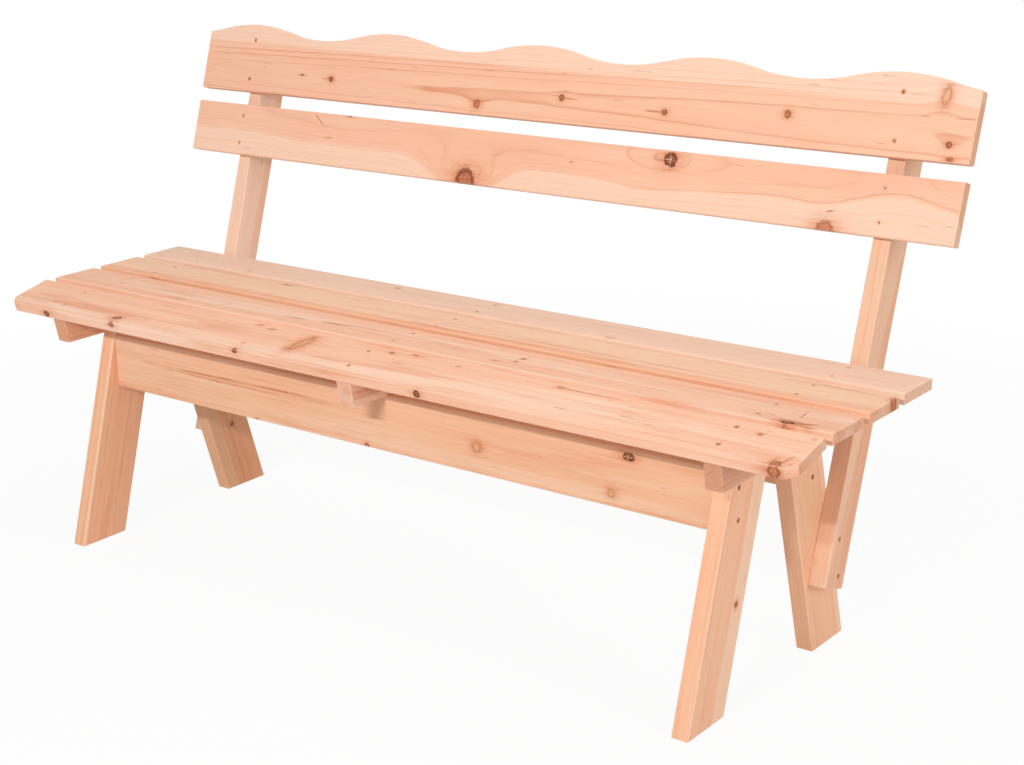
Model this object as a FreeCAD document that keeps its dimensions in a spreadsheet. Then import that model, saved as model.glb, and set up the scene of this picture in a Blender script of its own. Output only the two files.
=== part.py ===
import FreeCAD, Part
import Sketcher
import os
from FreeCAD import Placement, Rotation, Vector
from math import cos, pi, radians, sin, sqrt, tan

# Garden bench of sawn softwood boards: four seat slats on three bearers, splayed legs joined by two
# aprons, and a leaning back of two rails on two posts, the upper rail scalloped along its top.
# X runs along the bench, +Y to the back and +Z up. The origin is on the floor, under the middle of
# the bench's overall box.

doc = FreeCAD.newDocument("GardenBench")

sizes = [
    # seat
    ("benchLength", 1500, "seat slats from end to end"),
    ("seatHeight", 430, "top of the level slats above the floor"),
    ("slatWidth", 87, "seat slat across the grain"),
    ("slatThickness", 18, "seat slat"),
    ("slatGap", 17, "space between level slats"),
    ("slatArrisRadius", 2.5, "rounding round the slats' faces"),
    ("slatSetback", 14.9, "second slat's front edge behind the front apron's face"),
    ("seatOverhang", 105, "slats past the outer faces of the end bearers"),
    # front slat
    ("noseTilt", 13.4, "fall of the front slat to the front, in degrees"),
    ("noseFlatWidth", 22.5, "level bearer left in front of the second slat"),
    ("noseLapWidth", 6.5, "front slat behind the start of the slope"),
    ("noseClipWidth", 14.3, "corners taken off the front slat"),
    # bearers
    ("bearerThickness", 27.5, "bearer along the bench"),
    ("bearerDepth", 58.5, "bearer from top to underside"),
    ("bearerNoseLength", 75.5, "slope at the bearer's front, measured level"),
    ("bearerUndercut", 11.5, "lean of the bearer's front end, in degrees"),
    ("centreBearerOffset", 3, "middle bearer to the right of the middle"),
    # legs and aprons
    ("legThickness", 27, "leg along the bench"),
    ("legWidth", 90, "leg board across the grain"),
    ("legSplay", 16.4, "lean of the legs, in degrees"),
    ("legTopGap", 14.8, "between the front and rear legs' tops"),
    ("apronThickness", 27, "apron from face to face"),
    ("apronHeight", 90, "apron from edge to edge"),
    ("frameArrisRadius", 1.5, "rounding round the faces of legs, aprons, bearers and posts"),
    # back
    ("backLean", 17.8, "lean of the back from upright, in degrees"),
    ("postGap", 7.5, "rear slat to the posts, at the slat's underside"),
    ("postThickness", 27.5, "post along the bench"),
    ("postWidth", 58.5, "post from front to back"),
    ("postDropLength", 311.5, "post below the level of the bearers' tops, along its slope"),
    ("postSetback", 15, "post tops below the crests of the top rail"),
    ("railSetback", 3, "back rails' ends short of the seat's ends"),
    ("railThickness", 21, "back rails"),
    ("railChamferWidth", 1.5, "chamfer round the rails' faces"),
    ("lowerRailRise", 197.5, "lower rail above the bearers' tops, along the slope"),
    ("lowerRailWidth", 90, "lower rail from edge to edge"),
    ("railGap", 24, "space between the rails"),
    ("topRailWidth", 121, "top rail from lower edge to crest"),
    ("scallopLength", 315, "crest to crest"),
    ("scallopDepth", 20, "crest to trough"),
    # screws
    ("screwShankDiameter", 4.5, "shank"),
    ("screwHeadDiameter", 8.6, "head across, flush with the wood"),
    ("screwBevel", 90, "countersink under the head, in degrees"),
    ("screwPointLength", 8, "tapered point"),
    ("screwPointDiameter", 1, "end of the point"),
    ("slatScrewLength", 40, "slat to bearer"),
    ("slatScrewInset", 19, "slat screws from the slat's long edges"),
    ("noseScrewBackInset", 17.5, "front slat's screws from its back edge"),
    ("noseScrewFrontInset", 22, "front slat's screws from its front edge"),
    ("railScrewLength", 55, "rail to post"),
    ("lowerRailScrewInset", 20.5, "lower rail's screws from its edges"),
    ("topRailScrewLowInset", 22.5, "top rail's lower screws from its lower edge"),
    ("topRailScrewHighInset", 28.5, "top rail's upper screws below the crest"),
    ("apronScrewLength", 75, "leg to apron"),
    ("apronScrewHighInset", 24.5, "upper apron screws below the apron's top edge"),
    ("apronScrewLowInset", 18.5, "lower apron screws above the apron's lower edge"),
    ("postScrewLength", 45, "post to rear leg"),
    ("postScrewLowRise", 19, "lower post screw above the post's lower end"),
    ("postScrewLowDepth", 37, "lower post screw behind the post's front"),
    ("postScrewHighRise", 74, "upper post screw above the post's lower end"),
    ("postScrewHighDepth", 17.5, "upper post screw behind the post's front"),
    ("bearerScrewLength", 42, "leg to end bearer, from the inside"),
    ("bearerScrewRise", 18, "bearer screws above the bearer's underside"),
    ("bearerScrewGap", 44, "between the two bearer screws of a leg"),
    ("centreScrewLength", 90, "middle bearer to apron"),
    ("centreScrewOffset", 7, "middle bearer's screws behind the middles of the aprons"),
]

# the screws are drawn with this many sides
screwSides = 10

sheet = doc.addObject("Spreadsheet::Sheet", "Sizes")
for row, (alias, number, note) in enumerate(sizes, start=1):
    sheet.set(f"A{row}", note)
    sheet.set(f"B{row}", str(number))
    sheet.setAlias(f"B{row}", alias)
doc.recompute()


def size(alias):
    return float(sheet.get(alias))


# places that several pieces share, in the sheet's words; across is Y from the middle of the stand
legOuter = "(Sizes.benchLength / 2 - Sizes.seatOverhang - Sizes.bearerThickness)"
legInner = f"({legOuter} - Sizes.legThickness)"
bearerTop = "(Sizes.seatHeight - Sizes.slatThickness)"
bearerFoot = f"({bearerTop} - Sizes.bearerDepth)"
legAcross = "(Sizes.legWidth / cos(Sizes.legSplay))"
legTop = f"(Sizes.legTopGap / 2 + {legAcross})"
legFoot = f"({legTop} + tan(Sizes.legSplay) * {bearerTop})"
apronFoot = f"({bearerFoot} - Sizes.apronHeight)"
apronOuter = f"({legTop} + tan(Sizes.legSplay) * Sizes.bearerDepth)"
apronMiddle = f"({apronOuter} - Sizes.apronThickness / 2)"
slatFronts = [
    f"(Sizes.slatSetback - {apronOuter} + {k} * (Sizes.slatWidth + Sizes.slatGap))" for k in range(3)
]
slopeStart = f"({slatFronts[0]} - Sizes.noseFlatWidth)"
backFoot = f"({slatFronts[2]} + Sizes.slatWidth + Sizes.postGap)"
topRailRise = "(Sizes.lowerRailRise + Sizes.lowerRailWidth + Sizes.railGap)"
postTop = f"({topRailRise} + Sizes.topRailWidth - Sizes.postSetback)"
railHalf = "(Sizes.benchLength / 2 - Sizes.railSetback)"

# the overall box runs from the front feet to the rounded rear edges of the posts' tops
boxRear = (
    f"({backFoot} + {postTop} * sin(Sizes.backLean) + Sizes.postWidth * cos(Sizes.backLean)"
    " - Sizes.frameArrisRadius * (sin(Sizes.backLean) + cos(Sizes.backLean) - 1))"
)
middle = f"(({boxRear} - {legFoot}) / 2)"

# every board's body by its name
boards = {}


def newBody(label, along="0", across="0", up="0", tilt=None, angle=0):
    """A board's body, placed from the middle of the stand and tilted about the bench's length."""
    body = doc.addObject("PartDesign::Body", f"{label}_board")
    body.Label = f"{label}_board"
    boards[label] = body
    body.Placement = Placement(Vector(), Rotation(Vector(1, 0, 0), angle))
    body.setExpression("Placement.Base.x", along)
    body.setExpression("Placement.Base.y", f"{across} - {middle}")
    body.setExpression("Placement.Base.z", up)
    if tilt:
        body.setExpression("Placement.Rotation.Angle", tilt)
    return body


def newSketch(body, name, plane, lift="0"):
    """A sketch on one of the body's own planes, lifted off it along its normal."""
    sketch = body.newObject("Sketcher::SketchObject", name)
    support = [feature for feature in body.Origin.OriginFeatures if feature.Role == plane]
    sketch.AttachmentSupport = (support[0], [""])
    sketch.MapMode = "FlatFace"
    sketch.setExpression("AttachmentOffset.Base.z", lift)
    return sketch


def pin(sketch, curve, end, across, up):
    """Holds one end or the centre of a curve at a place given in the sheet's words."""
    start = sketch.getPoint(curve, end)
    for axis, now, place in (("DistanceX", start.x, across), ("DistanceY", start.y, up)):
        number = sketch.addConstraint(Sketcher.Constraint(axis, -1, 1, curve, end, now))
        sketch.setExpression(f"Constraints[{number}]", place)


def outline(sketch, corners):
    """Straight lines through the corners, starting from a regular polygon that the pins pull in."""
    count = len(corners)
    turns = [2 * pi * k / count for k in range(count)]
    rough = [Vector(cos(turn), sin(turn)) * size("slatWidth") for turn in turns]
    for k in range(count):
        sketch.addGeometry(Part.LineSegment(rough[k], rough[(k + 1) % count]))
    for k in range(count):
        sketch.addConstraint(Sketcher.Constraint("Coincident", k, 2, (k + 1) % count, 1))
        pin(sketch, k, 1, *corners[k])


def pad(body, sketch, thickness, arris, backwards=False):
    """Pads the outline to the board's thickness and eases the rims of its two faces."""
    blank = body.newObject("PartDesign::Pad", f"{body.Name}_blank")
    blank.Profile = sketch
    blank.Reversed = backwards
    blank.setExpression("Length", f"Sizes.{thickness}")
    doc.recompute()
    through = sketch.Placement.Rotation.multVec(Vector(0, 0, 1))
    rims = []
    for number, edge in enumerate(blank.Shape.Edges, start=1):
        tangent = edge.tangentAt((edge.FirstParameter + edge.LastParameter) / 2)
        if not tangent.cross(through).Length < abs(tangent.dot(through)):
            rims.append(f"Edge{number}")
    kind, measure = ("Fillet", "Radius") if arris.endswith("Radius") else ("Chamfer", "Size")
    ease = body.newObject(f"PartDesign::{kind}", f"{body.Name}_arris")
    ease.Base = (blank, rims)
    setattr(ease, measure, size(arris))
    ease.setExpression(measure, f"Sizes.{arris}")
    doc.recompute()


def mark(body, name, plane, lift, places, forwards=False):
    """Marks where screws go in, on a face; forwards ones run along the plane's normal."""
    sketch = newSketch(body, name, plane, lift)
    for k, (across, up) in enumerate(places):
        rough = Vector(size("slatWidth") * k, 0, 0)
        sketch.addGeometry(Part.Circle(rough, Vector(0, 0, 1), size("screwHeadDiameter") / 2))
        pin(sketch, k, 3, across, up)
        rim = sketch.addConstraint(Sketcher.Constraint("Radius", k, size("screwHeadDiameter") / 2))
        sketch.setExpression(f"Constraints[{rim}]", "Sizes.screwHeadDiameter / 2")
    return sketch, forwards


# Seat slats: the front one is tilted and has its front corners clipped.
bearerMiddles = [
    f"-{legOuter} - Sizes.bearerThickness / 2",
    "Sizes.centreBearerOffset",
    f"{legOuter} + Sizes.bearerThickness / 2",
]
levelInsets = ["Sizes.slatScrewInset", "Sizes.slatWidth - Sizes.slatScrewInset"]
noseInsets = ["Sizes.noseScrewFrontInset", "Sizes.slatWidth - Sizes.noseScrewBackInset"]
levelCorners = [
    ("-Sizes.benchLength / 2", "0"),
    ("Sizes.benchLength / 2", "0"),
    ("Sizes.benchLength / 2", "Sizes.slatWidth"),
    ("-Sizes.benchLength / 2", "Sizes.slatWidth"),
]
noseCorners = [
    ("Sizes.noseClipWidth - Sizes.benchLength / 2", "0"),
    ("Sizes.benchLength / 2 - Sizes.noseClipWidth", "0"),
    ("Sizes.benchLength / 2", "Sizes.noseClipWidth"),
    ("Sizes.benchLength / 2", "Sizes.slatWidth"),
    ("-Sizes.benchLength / 2", "Sizes.slatWidth"),
    ("-Sizes.benchLength / 2", "Sizes.noseClipWidth"),
]
noseReach = "(Sizes.slatWidth - Sizes.noseLapWidth)"


def slat(label, corners, insets, **place):
    body = newBody(label, **place)
    sketch = newSketch(body, f"{label}_outline", "XY_Plane")
    outline(sketch, corners)
    pad(body, sketch, "slatThickness", "slatArrisRadius")
    places = [(along, inset) for along in bearerMiddles for inset in insets]
    return mark(body, f"{label}_heads", "XY_Plane", "Sizes.slatThickness", places)


levelNames = ("second_seat_slat", "third_seat_slat", "rear_seat_slat")
slatHeads = [
    slat(label, levelCorners, levelInsets, across=front, up=bearerTop)
    for label, front in zip(levelNames, slatFronts)
]
slatHeads.append(
    slat(
        "front_seat_slat",
        noseCorners,
        noseInsets,
        across=f"{slopeStart} - {noseReach} * cos(Sizes.noseTilt)",
        up=f"{bearerTop} - {noseReach} * sin(Sizes.noseTilt)",
        tilt="Sizes.noseTilt",
        angle=size("noseTilt"),
    )
)

# Bearers: cut to a slope under the front slat, undercut in front and cut to the posts' lean behind.
noseTop = f"({bearerTop} - Sizes.bearerNoseLength * tan(Sizes.noseTilt))"
noseFront = f"({slopeStart} - Sizes.bearerNoseLength)"
bearerCorners = [
    (f"{noseFront} + ({noseTop} - {bearerFoot}) * tan(Sizes.bearerUndercut)", bearerFoot),
    (f"{backFoot} - Sizes.bearerDepth * tan(Sizes.backLean)", bearerFoot),
    (backFoot, bearerTop),
    (slopeStart, bearerTop),
    (noseFront, noseTop),
]


def bearer(label, along):
    body = newBody(label, along=along)
    sketch = newSketch(body, f"{label}_outline", "YZ_Plane")
    outline(sketch, bearerCorners)
    pad(body, sketch, "bearerThickness", "frameArrisRadius")
    return body


bearer("right_seat_bearer", legOuter)
bearer("left_seat_bearer", f"-{legOuter} - Sizes.bearerThickness")
centreBearer = bearer("centre_seat_bearer", "Sizes.centreBearerOffset - Sizes.bearerThickness / 2")
centreScrewPlaces = [
    ("Sizes.bearerThickness / 2", f"{sign}{apronMiddle} + Sizes.centreScrewOffset") for sign in ("-", "")
]
centreHeads = mark(centreBearer, "centre_seat_bearer_heads", "XY_Plane", bearerTop, centreScrewPlaces)

# Legs: boards leaning in to the middle, cut level at the floor and under the slats. The bearer's
# screws go through the middle of the leg and the apron's through the middle of the apron.
bearerScrewUp = f"({bearerFoot} + Sizes.bearerScrewRise)"
legMiddle = f"({legFoot} - {legAcross} / 2 - tan(Sizes.legSplay) * {bearerScrewUp})"
bearerScrewsAcross = [f"({legMiddle} {sign} Sizes.bearerScrewGap / 2)" for sign in ("-", "+")]
apronScrewsUp = [f"{bearerFoot} - Sizes.apronScrewHighInset", f"{apronFoot} + Sizes.apronScrewLowInset"]


def leg(side, end):
    """One leg and the marks of its screws; the sign mirrors a rear leg to make a front one."""
    label = f"{side}_{end}_leg"
    sign = "-" if end == "front" else ""
    onRight = side == "right"
    body = newBody(label, along=legInner if onRight else f"-{legOuter}")
    sketch = newSketch(body, f"{label}_outline", "YZ_Plane")
    corners = [
        (f"{sign}{legFoot}", "0"),
        (f"{sign}{legTop}", bearerTop),
        (f"{sign}({legTop} - {legAcross})", bearerTop),
        (f"{sign}({legFoot} - {legAcross})", "0"),
    ]
    outline(sketch, corners)
    pad(body, sketch, "legThickness", "frameArrisRadius")

    outer, inner = ("Sizes.legThickness", "0") if onRight else ("0", "Sizes.legThickness")
    toApron = [(f"{sign}{apronMiddle}", up) for up in apronScrewsUp]
    toBearer = [(f"{sign}{across}", bearerScrewUp) for across in bearerScrewsAcross]
    return (
        mark(body, f"{label}_outer_heads", "YZ_Plane", outer, toApron, forwards=not onRight),
        mark(body, f"{label}_inner_heads", "YZ_Plane", inner, toBearer, forwards=onRight),
    )


legHeads = [leg(side, end) for side in ("left", "right") for end in ("front", "rear")]


# Aprons: between the legs, flush with the legs' outer edges at the bearers' undersides.
def apron(label, across):
    body = newBody(label, along=f"-{legInner}", across=across, up=apronFoot)
    sketch = newSketch(body, f"{label}_outline", "XZ_Plane")
    corners = [
        ("0", "0"),
        (f"2 * {legInner}", "0"),
        (f"2 * {legInner}", "Sizes.apronHeight"),
        ("0", "Sizes.apronHeight"),
    ]
    outline(sketch, corners)
    pad(body, sketch, "apronThickness", "frameArrisRadius", backwards=True)


apron("front_apron", f"-{apronOuter}")
apron("rear_apron", f"({apronOuter} - Sizes.apronThickness)")

# The back leans as one frame: its pieces are modelled flat, with Y up the slope from the level of
# the bearers' tops and Z forwards from the posts' front faces, and then tilted.
upright = 90
leaning = {"tilt": f"{upright} - Sizes.backLean", "angle": upright - size("backLean")}
postMiddle = f"({legOuter} + Sizes.postThickness / 2)"
lowerRailScrewsUp = ["Sizes.lowerRailScrewInset", "(Sizes.lowerRailWidth - Sizes.lowerRailScrewInset)"]
topRailScrewsUp = ["Sizes.topRailScrewLowInset", "(Sizes.topRailWidth - Sizes.topRailScrewHighInset)"]
postScrews = [
    ("Sizes.postScrewLowRise - Sizes.postDropLength", "-Sizes.postScrewLowDepth"),
    ("Sizes.postScrewHighRise - Sizes.postDropLength", "-Sizes.postScrewHighDepth"),
]


def post(side, along, outer):
    label = f"{side}_back_post"
    body = newBody(label, along=along, across=backFoot, up=bearerTop, **leaning)
    sketch = newSketch(body, f"{label}_outline", "XY_Plane")
    corners = [
        ("0", "-Sizes.postDropLength"),
        ("Sizes.postThickness", "-Sizes.postDropLength"),
        ("Sizes.postThickness", postTop),
        ("0", postTop),
    ]
    outline(sketch, corners)
    pad(body, sketch, "postWidth", "frameArrisRadius", backwards=True)
    return mark(body, f"{label}_heads", "YZ_Plane", outer, postScrews, forwards=side == "left")


postHeads = [
    post("left", f"-{legOuter} - Sizes.postThickness", "0"),
    post("right", legOuter, "Sizes.postThickness"),
]


def rail(label, rise, screwsUp, draw):
    """One rail; draw puts its outline into the sketch it is given."""
    place = {
        "across": f"{backFoot} + {rise} * sin(Sizes.backLean)",
        "up": f"{bearerTop} + {rise} * cos(Sizes.backLean)",
    }
    body = newBody(label, **place, **leaning)
    sketch = newSketch(body, f"{label}_outline", "XY_Plane")
    draw(sketch)
    pad(body, sketch, "railThickness", "railChamferWidth")
    places = [(f"{sign}{postMiddle}", up) for sign in ("-", "") for up in screwsUp]
    return mark(body, f"{label}_heads", "XY_Plane", "Sizes.railThickness", places)


def plainOutline(sketch):
    corners = [
        (f"-{railHalf}", "0"),
        (railHalf, "0"),
        (railHalf, "Sizes.lowerRailWidth"),
        (f"-{railHalf}", "Sizes.lowerRailWidth"),
    ]
    outline(sketch, corners)


def scallopOutline(sketch):
    """Square ends and foot, and a top of equal arcs that run into one another.

    The arcs swell over the crests and dip through the troughs by turns, from a crest over the
    middle. Each meets the next half-way down, a quarter of the pitch from the crest.
    """
    quarter = size("scallopLength") / 4
    swing = size("scallopDepth") / 2
    radius = (quarter**2 + swing**2) / (2 * swing)
    level = size("topRailWidth") - swing
    half = size("benchLength") / 2 - size("railSetback")
    quarterWords = "(Sizes.scallopLength / 4)"
    swingWords = "(Sizes.scallopDepth / 2)"
    radiusWords = f"(({quarterWords}^2 + {swingWords}^2) / Sizes.scallopDepth)"
    levelWords = f"(Sizes.topRailWidth - {swingWords})"

    # bends are counted from the middle: even ones are crests, odd ones troughs
    lastBend = int((half / quarter + 1) // 2)
    turn = 1 if lastBend % 2 == 0 else -1
    overrun = half - 2 * quarter * lastBend
    endUp = level + turn * (swing - radius + sqrt(radius**2 - overrun**2))
    overrunWords = f"({railHalf} - {2 * lastBend} * {quarterWords})"
    sagWords = f"({swingWords} - {radiusWords} + sqrt({radiusWords}^2 - {overrunWords}^2))"
    endUpWords = f"({levelWords} + {turn} * {sagWords})"
    joints = [(Vector(-half, endUp, 0), f"-{railHalf}", endUpWords)]
    for count in range(1 - 2 * lastBend, 2 * lastBend, 2):
        joints.append((Vector(count * quarter, level, 0), f"{count} * {quarterWords}", levelWords))
    joints.append((Vector(half, endUp, 0), railHalf, endUpWords))

    # the left end, the foot and the right end
    run = [joints[0][0], Vector(-half, 0, 0), Vector(half, 0, 0), joints[-1][0]]
    for start, end in zip(run, run[1:]):
        sketch.addGeometry(Part.LineSegment(start, end))
    sketch.addConstraint(Sketcher.Constraint("Coincident", 0, 2, 1, 1))
    sketch.addConstraint(Sketcher.Constraint("Coincident", 1, 2, 2, 1))
    pin(sketch, 1, 1, f"-{railHalf}", "0")
    pin(sketch, 1, 2, railHalf, "0")

    # one arc for each bend, from its left joint to its right one
    previous = (0, 1)
    for number, bend in enumerate(range(-lastBend, lastBend + 1)):
        turn = 1 if bend % 2 == 0 else -1
        centre = Vector(2 * bend * quarter, level + turn * (swing - radius), 0)
        circle = Part.Circle(centre, Vector(0, 0, 1), radius)
        left, right = (circle.parameter(joint[0]) for joint in joints[number : number + 2])
        ends = (right, left) if turn == 1 else (left, right)
        curve = sketch.addGeometry(Part.ArcOfCircle(circle, *ends))
        leftEnd, rightEnd = (2, 1) if turn == 1 else (1, 2)
        sketch.addConstraint(Sketcher.Constraint("Coincident", *previous, curve, leftEnd))
        pin(sketch, curve, leftEnd, *joints[number][1:])
        bow = sketch.addConstraint(Sketcher.Constraint("Radius", curve, radius))
        sketch.setExpression(f"Constraints[{bow}]", radiusWords)
        previous = (curve, rightEnd)
    sketch.addConstraint(Sketcher.Constraint("Coincident", *previous, 2, 2))
    pin(sketch, *previous, *joints[-1][1:])


railHeads = [
    rail("lower_back_rail", "Sizes.lowerRailRise", lowerRailScrewsUp, plainOutline),
    rail("top_back_rail", topRailRise, topRailScrewsUp, scallopOutline),
]


# Screws: each kind is one group of separate pieces, with their heads flush with the wood.
def turned(sections):
    """A many-sided solid from the radius and height of each section, from the top down."""
    turns = [2 * pi * side / screwSides for side in range(screwSides)]
    rings = [[Vector(radius * cos(turn), radius * sin(turn), up) for turn in turns] for radius, up in sections]
    outlines = [rings[0], rings[-1]]
    for upper, lower in zip(rings, rings[1:]):
        for k in range(screwSides):
            after = (k + 1) % screwSides
            outlines.append([upper[k], upper[after], lower[after], lower[k]])
    faces = [Part.Face(Part.makePolygon(corners + corners[:1])) for corners in outlines]
    solid = Part.Solid(Part.Shell(faces))
    if solid.Volume < 0:
        solid.reverse()
    return solid


def screwSections(length):
    """A countersunk screw with its head at zero and its point down."""
    head = size("screwHeadDiameter") / 2
    shank = size("screwShankDiameter") / 2
    bevel = (head - shank) / tan(radians(size("screwBevel") / 2))
    pointStart = size("screwPointLength") - size(length)
    return [(head, 0), (shank, -bevel), (shank, pointStart), (size("screwPointDiameter") / 2, -size(length))]


def group(label, shapes):
    """Separate pieces under one name."""
    item = doc.addObject("Part::Feature", label)
    item.Label = label
    item.Shape = Part.makeCompound(shapes)
    return item


# the recesses that the screws' heads leave in the boards
recesses = []


def screwGroup(label, length, marks):
    """One screw for every mark."""
    sections = screwSections(length)
    screws = []
    for sketch, forwards in marks:
        flip = Rotation(Vector(0, 1, 0), 180) if forwards else Rotation()
        for circle in sketch.Geometry:
            place = sketch.getGlobalPlacement() * Placement(circle.Center, flip)
            for shapes, parts in ((screws, sections), (recesses, sections[:2])):
                shape = turned(parts)
                shape.Placement = place
                shapes.append(shape)
    return group(label, screws)


doc.recompute()
screws = [
    screwGroup("slat_screws", "slatScrewLength", slatHeads),
    screwGroup("rail_screws", "railScrewLength", railHeads),
    screwGroup("post_screws", "postScrewLength", postHeads),
    screwGroup("apron_screws", "apronScrewLength", [outer for outer, inner in legHeads]),
    screwGroup("bearer_screws", "bearerScrewLength", [inner for outer, inner in legHeads]),
    screwGroup("centre_bearer_screws", "centreScrewLength", [centreHeads]),
]

# a board is countersunk wherever a screw's head sits in it
countersinks = group("countersinks", recesses)
finished = []
for label, body in boards.items():
    board = doc.addObject("Part::Cut", label)
    board.Label = label
    board.Base = body
    board.Tool = countersinks
    finished.append(board)
doc.recompute()

# every object is sound and every piece a closed solid before anything is written
for item in doc.Objects:
    if "Invalid" in item.State or "Error" in item.State:
        raise RuntimeError(f"{item.Label} failed: {item.State}")
pieces = finished + screws
for piece in pieces:
    if piece.Shape.isNull() or not piece.Shape.isValid() or not piece.Shape.Solids:
        raise RuntimeError(f"{piece.Label} is not a sound solid")
boardVolume = sum(body.Shape.Volume for body in boards.values())
finishedVolume = sum(board.Shape.Volume for board in finished)
if not abs(boardVolume - countersinks.Shape.Volume - finishedVolume) < boardVolume / 10**6:
    raise RuntimeError("a countersink misses its board")

os.makedirs("parts", exist_ok=True)
for piece in pieces:
    piece.Shape.exportStep(f"parts/{piece.Label}.step")
    print(piece.Label, len(piece.Shape.Solids), round(piece.Shape.Volume))
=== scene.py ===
from math import cos, pi, radians, sin

import bmesh
import bpy
from mathutils import Matrix, Vector


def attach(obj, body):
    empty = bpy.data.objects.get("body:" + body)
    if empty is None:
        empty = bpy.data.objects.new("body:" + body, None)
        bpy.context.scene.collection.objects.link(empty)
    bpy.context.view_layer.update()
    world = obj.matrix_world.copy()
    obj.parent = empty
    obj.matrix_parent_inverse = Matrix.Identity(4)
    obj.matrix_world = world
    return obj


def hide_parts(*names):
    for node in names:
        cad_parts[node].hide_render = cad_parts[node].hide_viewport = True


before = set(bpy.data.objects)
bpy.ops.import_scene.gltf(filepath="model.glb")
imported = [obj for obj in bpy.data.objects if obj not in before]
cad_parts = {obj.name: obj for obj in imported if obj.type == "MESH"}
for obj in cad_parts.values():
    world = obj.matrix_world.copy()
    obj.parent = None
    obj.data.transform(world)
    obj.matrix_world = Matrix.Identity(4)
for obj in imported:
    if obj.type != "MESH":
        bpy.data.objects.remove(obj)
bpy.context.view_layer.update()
print("frame loaded:", len(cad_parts), "nodes")

mm = 0.001
backLean = radians(17.8)
legSplay = radians(16.4)
noseTilt = radians(13.4)

# the ways that the boards' grain runs and their faces look
along = Vector((1, 0, 0))
deep = Vector((0, 1, 0))
forwards = Vector((0, -1, 0))
upright = Vector((0, 0, 1))
upTheBack = Vector((0, sin(backLean), cos(backLean)))
offTheBack = Vector((0, -cos(backLean), sin(backLean)))
offTheNose = Vector((0, -sin(noseTilt), cos(noseTilt)))
upFrontLeg = Vector((0, sin(legSplay), cos(legSplay)))
upRearLeg = Vector((0, -sin(legSplay), cos(legSplay)))


def colour(red, green, blue):  # from the 0 to 255 values that a screen shows
    shares = [value / 255 for value in (red, green, blue)]
    return [share / 12.92 if share <= 0.04045 else ((share + 0.055) / 1.055) ** 2.4 for share in shares] + [1]


white = colour(255, 255, 255)


def plug(tree, socket, value):
    if isinstance(value, bpy.types.NodeSocket):
        tree.links.new(value, socket)
    else:
        socket.default_value = value


def add(tree, kind, inputs=None, **settings):
    node = tree.nodes.new(kind)
    for name, value in settings.items():
        setattr(node, name, value)
    for name, value in (inputs or {}).items():
        plug(tree, node.inputs[name], value)
    return node


def calc(tree, operation, *values):
    return add(tree, "ShaderNodeMath", dict(enumerate(values)), operation=operation).outputs[0]


def times(tree, *values):
    product = values[0]
    for value in values[1:]:
        product = calc(tree, "MULTIPLY", product, value)
    return product


def timesPlus(tree, value, factor, added):
    return calc(tree, "MULTIPLY_ADD", value, factor, added)


def plus(tree, first, second):
    return calc(tree, "ADD", first, second)


def minus(tree, first, second):
    return calc(tree, "SUBTRACT", first, second)


def over(tree, first, second):
    return calc(tree, "DIVIDE", first, second)


def vectors(tree, operation, *values):
    node = add(tree, "ShaderNodeVectorMath", dict(enumerate(values)), operation=operation)
    return node.outputs["Value"] if operation in ("LENGTH", "DOT_PRODUCT") else node.outputs["Vector"]


def sizeOf(tree, vector):
    return vectors(tree, "LENGTH", vector)


def scaled(tree, vector, factor):
    node = add(tree, "ShaderNodeVectorMath", {"Vector": vector, "Scale": factor}, operation="SCALE")
    return node.outputs["Vector"]


def joined(tree, x, y, z):
    return add(tree, "ShaderNodeCombineXYZ", {0: x, 1: y, 2: z}).outputs[0]


def parts(tree, vector):
    return add(tree, "ShaderNodeSeparateXYZ", {0: vector}).outputs


def ease(tree, value, start, end, first=0.0, last=1.0):
    inputs = {"Value": value, "From Min": start, "From Max": end, "To Min": first, "To Max": last}
    return add(tree, "ShaderNodeMapRange", inputs, interpolation_type="SMOOTHSTEP").outputs[0]


def blend(tree, factor, first, second, blending="MIX"):
    node = add(tree, "ShaderNodeMix", {0: factor, 6: first, 7: second}, data_type="RGBA", blend_type=blending)
    return node.outputs[2]


def lerp(tree, factor, first, second):
    return add(tree, "ShaderNodeMix", {0: factor, 2: first, 3: second}).outputs[0]


def lerpVector(tree, factor, first, second):
    return add(tree, "ShaderNodeMix", {0: factor, 4: first, 5: second}, data_type="VECTOR").outputs[1]


def noise(tree, vector, scale=1.0, detail=2.0, roughness=0.5, output="Fac"):
    inputs = {"Vector": vector, "Scale": scale, "Detail": detail, "Roughness": roughness}
    return add(tree, "ShaderNodeTexNoise", inputs).outputs[output]


def bell(tree, distance):  # 1 at no distance, falling away smoothly
    return calc(tree, "EXPONENT", times(tree, distance, distance, -1.0))


def newGroup(name, kind, inputs, outputs):
    tree = bpy.data.node_groups.new(name, kind)
    for way, sockets in (("INPUT", inputs), ("OUTPUT", outputs)):
        for socket, value in sockets.items():
            tree.interface.new_socket(socket, in_out=way, socket_type="NodeSocket" + value)
    return tree, tree.nodes.new("NodeGroupInput").outputs, tree.nodes.new("NodeGroupOutput").inputs


def newMaterial(name):
    material = bpy.data.materials.new(name)
    material.use_nodes = True
    material.node_tree.nodes.clear()
    return material, material.node_tree


def newObject(name, data):
    made = bpy.data.objects.new(name, data)
    bpy.context.scene.collection.objects.link(made)
    return made


def useGroup(tree, group, inputs):
    node = add(tree, "ShaderNodeGroup", node_tree=group)
    for name, value in inputs.items():
        plug(tree, node.inputs[name], value)
    return node.outputs


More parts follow.
